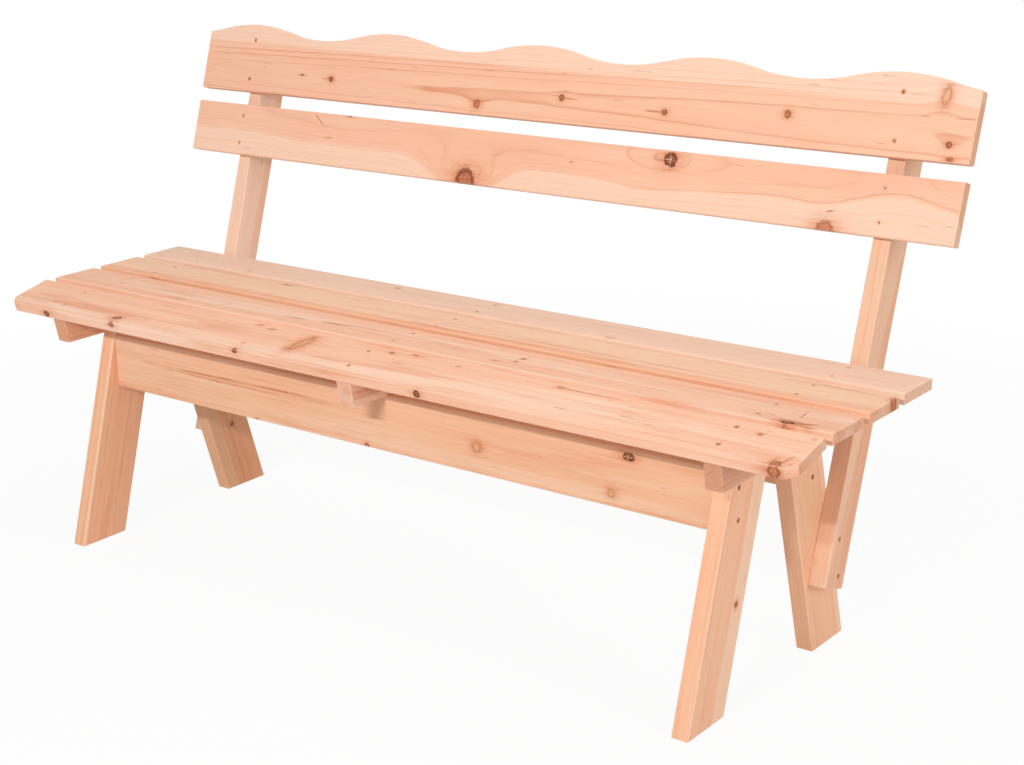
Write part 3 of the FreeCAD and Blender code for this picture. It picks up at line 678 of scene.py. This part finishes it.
# A tube of rings, with the number of the step round it and of the ring for each point.
def ringGrid(tree, sides, rows):
    grid = add(tree, "GeometryNodeMeshGrid", {"Vertices X": plus(tree, sides, 1), "Vertices Y": rows})
    index = add(tree, "GeometryNodeInputIndex").outputs[0]
    step = calc(tree, "FLOOR", over(tree, plus(tree, index, 0.5), rows))
    return grid.outputs["Mesh"], step, minus(tree, index, times(tree, step, rows))


def moved(tree, mesh, place):  # the seam and the poles close in the merge
    shaped = add(tree, "GeometryNodeSetPosition", {"Geometry": mesh, "Position": place}).outputs[0]
    return add(tree, "GeometryNodeMergeByDistance", {"Geometry": shaped, "Distance": mergeDistance}).outputs[0]


# Rings of points round the screw's axis, each ring with a radius and a height. The rings past recessFrom
# are marked, and painted shade darkens the coat there.
def turnedMesh(tree, sides, rows, radiusAt, heightAt, recessFrom):
    grid, step, row = ringGrid(tree, sides, rows)
    grid = add(tree, "GeometryNodeStoreNamedAttribute", {
        "Geometry": grid, "Name": "recess", "Value": calc(tree, "GREATER_THAN", row, recessFrom),
    }, data_type="FLOAT", domain="POINT").outputs[0]
    angle = over(tree, times(tree, step, 2 * pi), sides)
    height = heightAt(row)
    radius = radiusAt(row, angle, height)
    x, y = (times(tree, radius, calc(tree, operation, angle)) for operation in ("COSINE", "SINE"))
    return moved(tree, grid, joined(tree, x, y, height))


def choose(tree, row, values):
    node = add(tree, "GeometryNodeIndexSwitch", data_type="FLOAT")
    while len(node.index_switch_items) < len(values):
        node.index_switch_items.new()
    plug(tree, node.inputs["Index"], row)
    for number, value in enumerate(values):
        plug(tree, node.inputs[str(number)], value)
    return node.outputs[0]


def standUp(tree):  # the turn that brings the upright to each seat's way
    way = add(tree, "GeometryNodeInputNamedAttribute", {"Name": "way"}, data_type="FLOAT_VECTOR").outputs
    return add(tree, "FunctionNodeAlignRotationToVector", {"Vector": way["Attribute"]}, axis="Z").outputs[0]


def makeScrewTree():
    lengths = dict.fromkeys((
        "Length", "Head Radius", "Head Depth", "Shank Radius", "Sunk", "Rim Height", "Thread Pitch", "Thread Depth",
        "Tip Length", "Recess Reach", "Recess Width", "Recess Depth",
    ), "Float")
    counts = dict.fromkeys(("Head Sides", "Shank Sides", "Seed"), "Int")
    tree, given, result = newGroup("countersunkScrews", "GeometryNodeTree", {
        "Geometry": "Geometry", "Material": "Material", **lengths, **counts,
    }, {"Geometry": "Geometry"})

    def crossAt(angle):  # the outline of a plus sign, as a distance for each angle
        wide, high = (
            calc(tree, "MAXIMUM", calc(tree, "ABSOLUTE", calc(tree, operation, angle)), 0.0001)
            for operation in ("COSINE", "SINE")
        )
        arms = []
        for run, side in ((wide, high), (high, wide)):
            reach = over(tree, given["Recess Reach"], run)
            arms.append(calc(tree, "MINIMUM", reach, over(tree, given["Recess Width"], side)))
        return calc(tree, "MAXIMUM", *arms)

    # the head's rings go from the neck over the rim into the recess
    def headRadius(row, angle, height):
        cross = crossAt(angle)
        rounded = minus(tree, given["Head Radius"], times(tree, given["Rim Height"], 0.5))
        return choose(tree, row, [
            0.0, given["Shank Radius"], given["Head Radius"], given["Head Radius"], rounded,
            cross, times(tree, cross, 0.85), times(tree, cross, 0.4), 0.0,
        ])

    def headHeight(row):
        top = times(tree, given["Sunk"], -1.0)
        neck = minus(tree, top, given["Head Depth"])
        rim = minus(tree, top, given["Rim Height"])
        rimTop = timesPlus(tree, given["Rim Height"], -0.3, top)
        lip = timesPlus(tree, given["Recess Depth"], -0.2, top)
        floor = minus(tree, top, given["Recess Depth"])
        return choose(tree, row, [neck, neck, rim, rimTop, top, top, lip, floor, floor])

    headRings, recessFrom = 9, 5.5
    head = turnedMesh(tree, given["Head Sides"], headRings, headRadius, headHeight, recessFrom)

    neck = plus(tree, given["Sunk"], given["Head Depth"])
    threadLength = minus(tree, given["Length"], neck)
    ringsInTurn, otherRings = 4.0, 3.0
    rows = timesPlus(tree, over(tree, threadLength, given["Thread Pitch"]), ringsInTurn, otherRings)
    rows = calc(tree, "FLOOR", rows)
    last = minus(tree, rows, 2.0)

    def shankHeight(row):  # the first two rings share the neck, the last one is the point
        share = over(tree, calc(tree, "MAXIMUM", minus(tree, row, 1.0), 0.0), last)
        return minus(tree, times(tree, share, threadLength, -1.0), neck)

    def shankRadius(row, angle, height):
        turns = plus(tree, over(tree, height, given["Thread Pitch"]), over(tree, angle, 2 * pi))
        groove = times(tree, calc(tree, "PINGPONG", turns, 0.5), 2.0)
        radius = minus(tree, given["Shank Radius"], times(tree, groove, given["Thread Depth"]))
        left = over(tree, plus(tree, given["Length"], height), given["Tip Length"])
        left = calc(tree, "MINIMUM", left, 1.0)
        started = calc(tree, "GREATER_THAN", row, 0.5)
        return times(tree, radius, left, started)

    shank = turnedMesh(tree, given["Shank Sides"], rows, shankRadius, shankHeight, rows)
    shank = add(tree, "GeometryNodeFlipFaces", {"Mesh": shank}).outputs[0]
    model = add(tree, "GeometryNodeJoinGeometry")
    tree.links.new(head, model.inputs[0])
    tree.links.new(shank, model.inputs[0])

    stand = standUp(tree)
    chance = add(tree, "FunctionNodeRandomValue", {"Seed": given["Seed"], 3: 2 * pi}, data_type="FLOAT")
    spin = add(tree, "FunctionNodeAxisAngleToRotation", {"Angle": chance.outputs[1]}).outputs[0]
    stand = add(tree, "FunctionNodeRotateRotation", {0: stand, 1: spin}, rotation_space="LOCAL").outputs[0]
    placed = add(tree, "GeometryNodeInstanceOnPoints", {
        "Points": given["Geometry"], "Instance": model.outputs[0], "Rotation": stand,
    })
    whole = add(tree, "GeometryNodeRealizeInstances", {"Geometry": placed.outputs[0]})
    coated = add(tree, "GeometryNodeSetMaterial", {"Geometry": whole.outputs[0], "Material": given["Material"]})
    tree.links.new(coated.outputs[0], result["Geometry"])
    return tree


weldDistance = 0.000001


def seatsOf(name):  # each solid's head centre, the way it looks, its length and its head's radius
    build = bmesh.new()
    build.from_mesh(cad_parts[name].data)
    bmesh.ops.remove_doubles(build, verts=build.verts, dist=weldDistance)
    loose, seats = set(build.verts), []
    while loose:
        island, edge = [], [loose.pop()]
        while edge:
            vertex = edge.pop()
            island.append(vertex.co.copy())
            near = [other for link in vertex.link_edges for other in link.verts if other in loose]
            loose.difference_update(near)
            edge.extend(set(near))
        middle = sum(island, Vector()) / len(island)
        rough = max(((place - middle) for place in island), key=lambda step: step.length).normalized()
        island.sort(key=lambda place: place.dot(rough))
        ends = []
        for ring in (island[:screw["seatSides"]], island[-screw["seatSides"]:]):
            centre = sum(ring, Vector()) / len(ring)
            ends.append((sum((place - centre).length for place in ring) / len(ring), centre))
        (_, tip), (headRadius, head) = sorted(ends, key=lambda end: end[0])
        seats.append((head, (head - tip).normalized(), (head - tip).length, headRadius))
    build.free()
    return seats


screwTree = makeScrewTree()
darkCoat = screwMaterial("yellowZinc", yellowZinc)
paleCoat = screwMaterial("paleZinc", paleZinc)
faintCoat = screwMaterial("faintZinc", faintZinc)


# The tree works on points at the seats, and what it makes replaces the CAD node. Lengths in values are in mm.
def grow(group, name, pieceName, seats, values):
    mesh = bpy.data.meshes.new(pieceName)
    mesh.from_pydata([seat[0] for seat in seats], [], [])
    headWays = mesh.attributes.new("way", "FLOAT_VECTOR", "POINT")
    headWays.data.foreach_set("vector", [part for seat in seats for part in seat[1]])
    raw = newObject(pieceName + "Points", mesh)
    modifier = raw.modifiers.new(pieceName, "NODES")
    modifier.node_group = group
    for item in group.interface.items_tree:
        key = item.name[0].lower() + item.name[1:].replace(" ", "")
        if item.in_out == "INPUT" and key in values:
            isLength = item.socket_type == "NodeSocketFloat"
            modifier[item.identifier] = values[key] * mm if isLength else values[key]
    bpy.context.view_layer.update()
    evaluated = raw.evaluated_get(bpy.context.evaluated_depsgraph_get())
    made = bpy.data.meshes.new_from_object(evaluated)
    made.materials.clear()
    made.materials.append(values["material"])
    made.polygons.foreach_set("material_index", [0] * len(made.polygons))
    piece = newObject(pieceName, made)
    bpy.data.objects.remove(raw)
    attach(piece, "root")
    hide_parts(name)
    print(pieceName, len(seats), "seats,", len(piece.data.polygons), "faces")


def makeScrews(name, pieceName, coat):
    seats = seatsOf(name)
    headRadius = seats[0][3] / mm * cos(pi / screw["seatSides"]) - screw["sunk"]
    length = seats[0][2] / mm - screw["tipGap"]
    grow(screwTree, name, pieceName, seats, {"material": coat, "length": length, "headRadius": headRadius, **screw})


makeScrews("slat_screws", "slatScrews", faintCoat)
makeScrews("rail_screws", "railScrews", paleCoat)
makeScrews("apron_screws", "apronScrews", darkCoat)
makeScrews("post_screws", "postScrews", darkCoat)
makeScrews("bearer_screws", "bearerScrews", darkCoat)
makeScrews("centre_bearer_screws", "centreBearerScrews", darkCoat)


# The crests and the hollows of the top edge are equal arcs that run into each other. Lengths are in mm.
scallops = {
    "scallopLength": 315, "scallopDepth": 20, "edgeRadius": 1.8, "cornerSteps": 3, "stations": 305, "sinkSides": 24,
    "sinkDepth": 2.9,
}


def makeRailTree():
    lengths = dict.fromkeys((
        "Length", "Width", "Thickness", "Scallop Length", "Scallop Depth", "Edge Radius", "Sink Radius",
        "Sink Depth",
    ), "Float")
    places = dict.fromkeys(("Middle", "Along", "Up", "Out"), "Vector")
    counts = dict.fromkeys(("Corner Steps", "Stations", "Sink Sides"), "Int")
    tree, given, result = newGroup("scallopedRail", "GeometryNodeTree", {
        "Geometry": "Geometry", "Material": "Material", **lengths, **places, **counts,
    }, {"Geometry": "Geometry"})

    def half(value):
        return times(tree, value, 0.5)

    def pick(chosen, ifNot, ifSo):
        return lerp(tree, chosen, ifNot, ifSo)

    # the first and the last station close the ends, the next ones are the eased rims
    corner = plus(tree, given["Corner Steps"], 1)
    grid, step, row = ringGrid(tree, times(tree, corner, 4), given["Stations"])
    last = minus(tree, given["Stations"], 1)
    fromEnd = calc(tree, "MINIMUM", row, minus(tree, last, row))
    closed = calc(tree, "LESS_THAN", fromEnd, 0.5)
    rim = calc(tree, "LESS_THAN", fromEnd, 1.5)
    inset = times(tree, rim, given["Edge Radius"])
    share = over(tree, minus(tree, row, 2), minus(tree, last, 4))
    share = timesPlus(tree, calc(tree, "MINIMUM", calc(tree, "MAXIMUM", share, 0.0), 1.0), 2.0, -1.0)
    reach = minus(tree, half(given["Length"]), minus(tree, given["Edge Radius"], inset))
    u = times(tree, share, reach)

    quarter = times(tree, given["Scallop Length"], 0.25)
    rise = half(given["Scallop Depth"])
    radius = plus(tree, times(tree, quarter, quarter), times(tree, rise, rise))
    radius = over(tree, radius, given["Scallop Depth"])
    fromCrest = calc(tree, "PINGPONG", u, half(given["Scallop Length"]))
    inHollow = calc(tree, "GREATER_THAN", fromCrest, quarter)
    near = calc(tree, "MINIMUM", fromCrest, minus(tree, half(given["Scallop Length"]), fromCrest))
    sag = minus(tree, times(tree, radius, radius), times(tree, near, near))
    sag = minus(tree, radius, calc(tree, "SQRT", sag))
    drop = pick(inHollow, sag, minus(tree, given["Scallop Depth"], sag))
    crest = minus(tree, half(given["Width"]), drop)

    # four rounded corners round the section
    cornerNumber = calc(tree, "MODULO", calc(tree, "FLOOR", over(tree, step, corner)), 4)
    turned = over(tree, calc(tree, "MODULO", step, corner), given["Corner Steps"])
    angle = times(tree, plus(tree, cornerNumber, turned), pi / 2)
    middleAngle = times(tree, plus(tree, cornerNumber, 0.5), pi / 2)
    upper = calc(tree, "GREATER_THAN", calc(tree, "COSINE", middleAngle), 0.0)
    front = calc(tree, "GREATER_THAN", calc(tree, "SINE", middleAngle), 0.0)
    margin = plus(tree, inset, given["Edge Radius"])
    foot = times(tree, given["Width"], -0.5)
    v = pick(upper, plus(tree, foot, margin), minus(tree, crest, margin))
    v = timesPlus(tree, calc(tree, "COSINE", angle), given["Edge Radius"], v)
    w = minus(tree, half(given["Thickness"]), margin)
    w = times(tree, w, pick(front, -1.0, 1.0))
    w = timesPlus(tree, calc(tree, "SINE", angle), given["Edge Radius"], w)
    v = pick(closed, v, half(plus(tree, foot, crest)))
    w = pick(closed, w, 0.0)
    place = given["Middle"]
    for way, distance in (("Along", u), ("Up", v), ("Out", w)):
        place = vectors(tree, "ADD", place, scaled(tree, given[way], distance))
    board = moved(tree, grid, place)

    # countersinks round the screws
    proud = 0.001
    sink = add(tree, "GeometryNodeMeshCone", {
        "Vertices": given["Sink Sides"], "Radius Top": plus(tree, given["Sink Radius"], proud),
        "Radius Bottom": minus(tree, given["Sink Radius"], given["Sink Depth"]),
        "Depth": plus(tree, given["Sink Depth"], proud),
    })
    lower = joined(tree, 0.0, 0.0, times(tree, given["Sink Depth"], -1.0))
    sink = add(tree, "GeometryNodeTransform", {"Geometry": sink.outputs["Mesh"], "Translation": lower}).outputs[0]
    sinks = add(tree, "GeometryNodeInstanceOnPoints", {
        "Points": given["Geometry"], "Instance": sink, "Rotation": standUp(tree),
    })
    sinks = add(tree, "GeometryNodeRealizeInstances", {"Geometry": sinks.outputs[0]}).outputs[0]
    bored = add(tree, "GeometryNodeMeshBoolean", {0: board, 1: sinks}, operation="DIFFERENCE", solver="EXACT")
    finished = add(tree, "GeometryNodeSetMaterial", {"Geometry": bored.outputs[0], "Material": given["Material"]})
    tree.links.new(finished.outputs[0], result["Geometry"])
    return tree


def makeTopRail():
    name = "top_back_rail"
    turn = turnOf(topRail)
    middle, half = boxOf(name, turn)
    seats = []
    for seat in seatsOf("rail_screws"):
        apart = turn.transposed() @ seat[0] - middle
        if abs(apart.y) < half.y:
            seats.append(seat)
    grow(makeRailTree(), name, "scallopedRail", seats, {
        "material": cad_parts[name].data.materials[0], "middle": turn @ middle, "along": turn.col[0],
        "up": turn.col[1], "out": turn.col[2], "length": 2 * half.x / mm, "width": 2 * half.y / mm,
        "thickness": 2 * half.z / mm, "sinkRadius": seats[0][3] / mm, **scallops,
    })


makeTopRail()

studio = {
    "floorRadius": 6.0, "floorTone": colour(236, 236, 236), "floorWhite": 0.93, "whiteFrom": 0.9, "whiteBy": 2.2,
    "worldTone": colour(255, 246, 238), "worldStrength": 0.33, "aim": (0.1, -0.05, 0.45),
    # each lamp's place, power and size
    "key": ((0.7, -4.1, 2.5), 112.0, (1.6, 0.12)),
    "side": ((8.1, -1.1, 2.9), 230.0, (4.8, 4.8)),
    "top": ((0.6, 0.8, 3.8), 40.0, (2.6, 2.6)),
}


def areaLamp(name, place, power, size):
    data = bpy.data.lights.new(name, "AREA")
    data.shape = "ELLIPSE"
    data.size, data.size_y = size
    data.energy = power
    lamp = newObject(name, data)
    lamp.location = place
    lamp.rotation_euler = (Vector(studio["aim"]) - Vector(place)).to_track_quat("-Z", "Y").to_euler()


def seenDirectly(tree):
    rays = add(tree, "ShaderNodeLightPath").outputs
    seen = calc(tree, "MAXIMUM", rays["Is Camera Ray"], rays["Is Glossy Ray"])
    return calc(tree, "MAXIMUM", seen, rays["Is Transmission Ray"])


def makeFloor():
    build = bmesh.new()
    bmesh.ops.create_circle(build, cap_ends=True, segments=96, radius=studio["floorRadius"])
    mesh = bpy.data.meshes.new("floor")
    build.to_mesh(mesh)
    build.free()
    floor = newObject("floor", mesh)
    material, tree = newMaterial("palePaper")
    paper = add(tree, "ShaderNodeBsdfDiffuse", {"Color": studio["floorTone"]})
    lit = add(tree, "ShaderNodeEmission", {"Color": white, "Strength": 1.0})
    place = add(tree, "ShaderNodeTexCoord").outputs["Object"]
    fromMiddle = sizeOf(tree, place)
    rim = ease(tree, fromMiddle, studio["whiteFrom"], studio["whiteBy"], studio["floorWhite"], 1.0)
    share = times(tree, rim, seenDirectly(tree))
    mixed = add(tree, "ShaderNodeMixShader", {0: share, 1: paper.outputs[0], 2: lit.outputs[0]})
    add(tree, "ShaderNodeOutputMaterial", {"Surface": mixed.outputs[0]})
    mesh.materials.append(material)


def makeWorld():
    world = bpy.data.worlds.new("studio")
    bpy.context.scene.world = world
    world.use_nodes = True
    tree = world.node_tree
    tree.nodes.clear()
    seen = seenDirectly(tree)
    tone = blend(tree, seen, studio["worldTone"], white)
    strength = lerp(tree, seen, studio["worldStrength"], 1.0)
    sky = add(tree, "ShaderNodeBackground", {"Color": tone, "Strength": strength})
    add(tree, "ShaderNodeOutputWorld", {"Surface": sky.outputs[0]})


makeFloor()
makeWorld()
for lampName in ("key", "side", "top"):
    areaLamp(lampName, *studio[lampName])
print("studio ready")

view = {
    "place": (1.76783, -2.23001, 1.18867), "yaw": 38.2435, "pitch": -18.3729, "roll": -1.0779,
    "lens": 65.33, "sensor": 36.0, "shiftX": 0.0455, "shiftY": 0.0452,
}
camera = bpy.data.cameras.new("camera")
camera.lens = view["lens"]
camera.sensor_width = view["sensor"]
camera.sensor_fit = "HORIZONTAL"
camera.shift_x = view["shiftX"]
camera.shift_y = view["shiftY"]
cameraObject = newObject("camera", camera)
turn = Matrix.Rotation(radians(view["yaw"]), 4, "Z") @ Matrix.Rotation(pi / 2 + radians(view["pitch"]), 4, "X")
turn = turn @ Matrix.Rotation(radians(view["roll"]), 4, "Z")
cameraObject.matrix_world = Matrix.Translation(view["place"]) @ turn
bpy.context.scene.camera = cameraObject
bpy.context.scene.view_settings.view_transform = "Standard"
print("camera set")
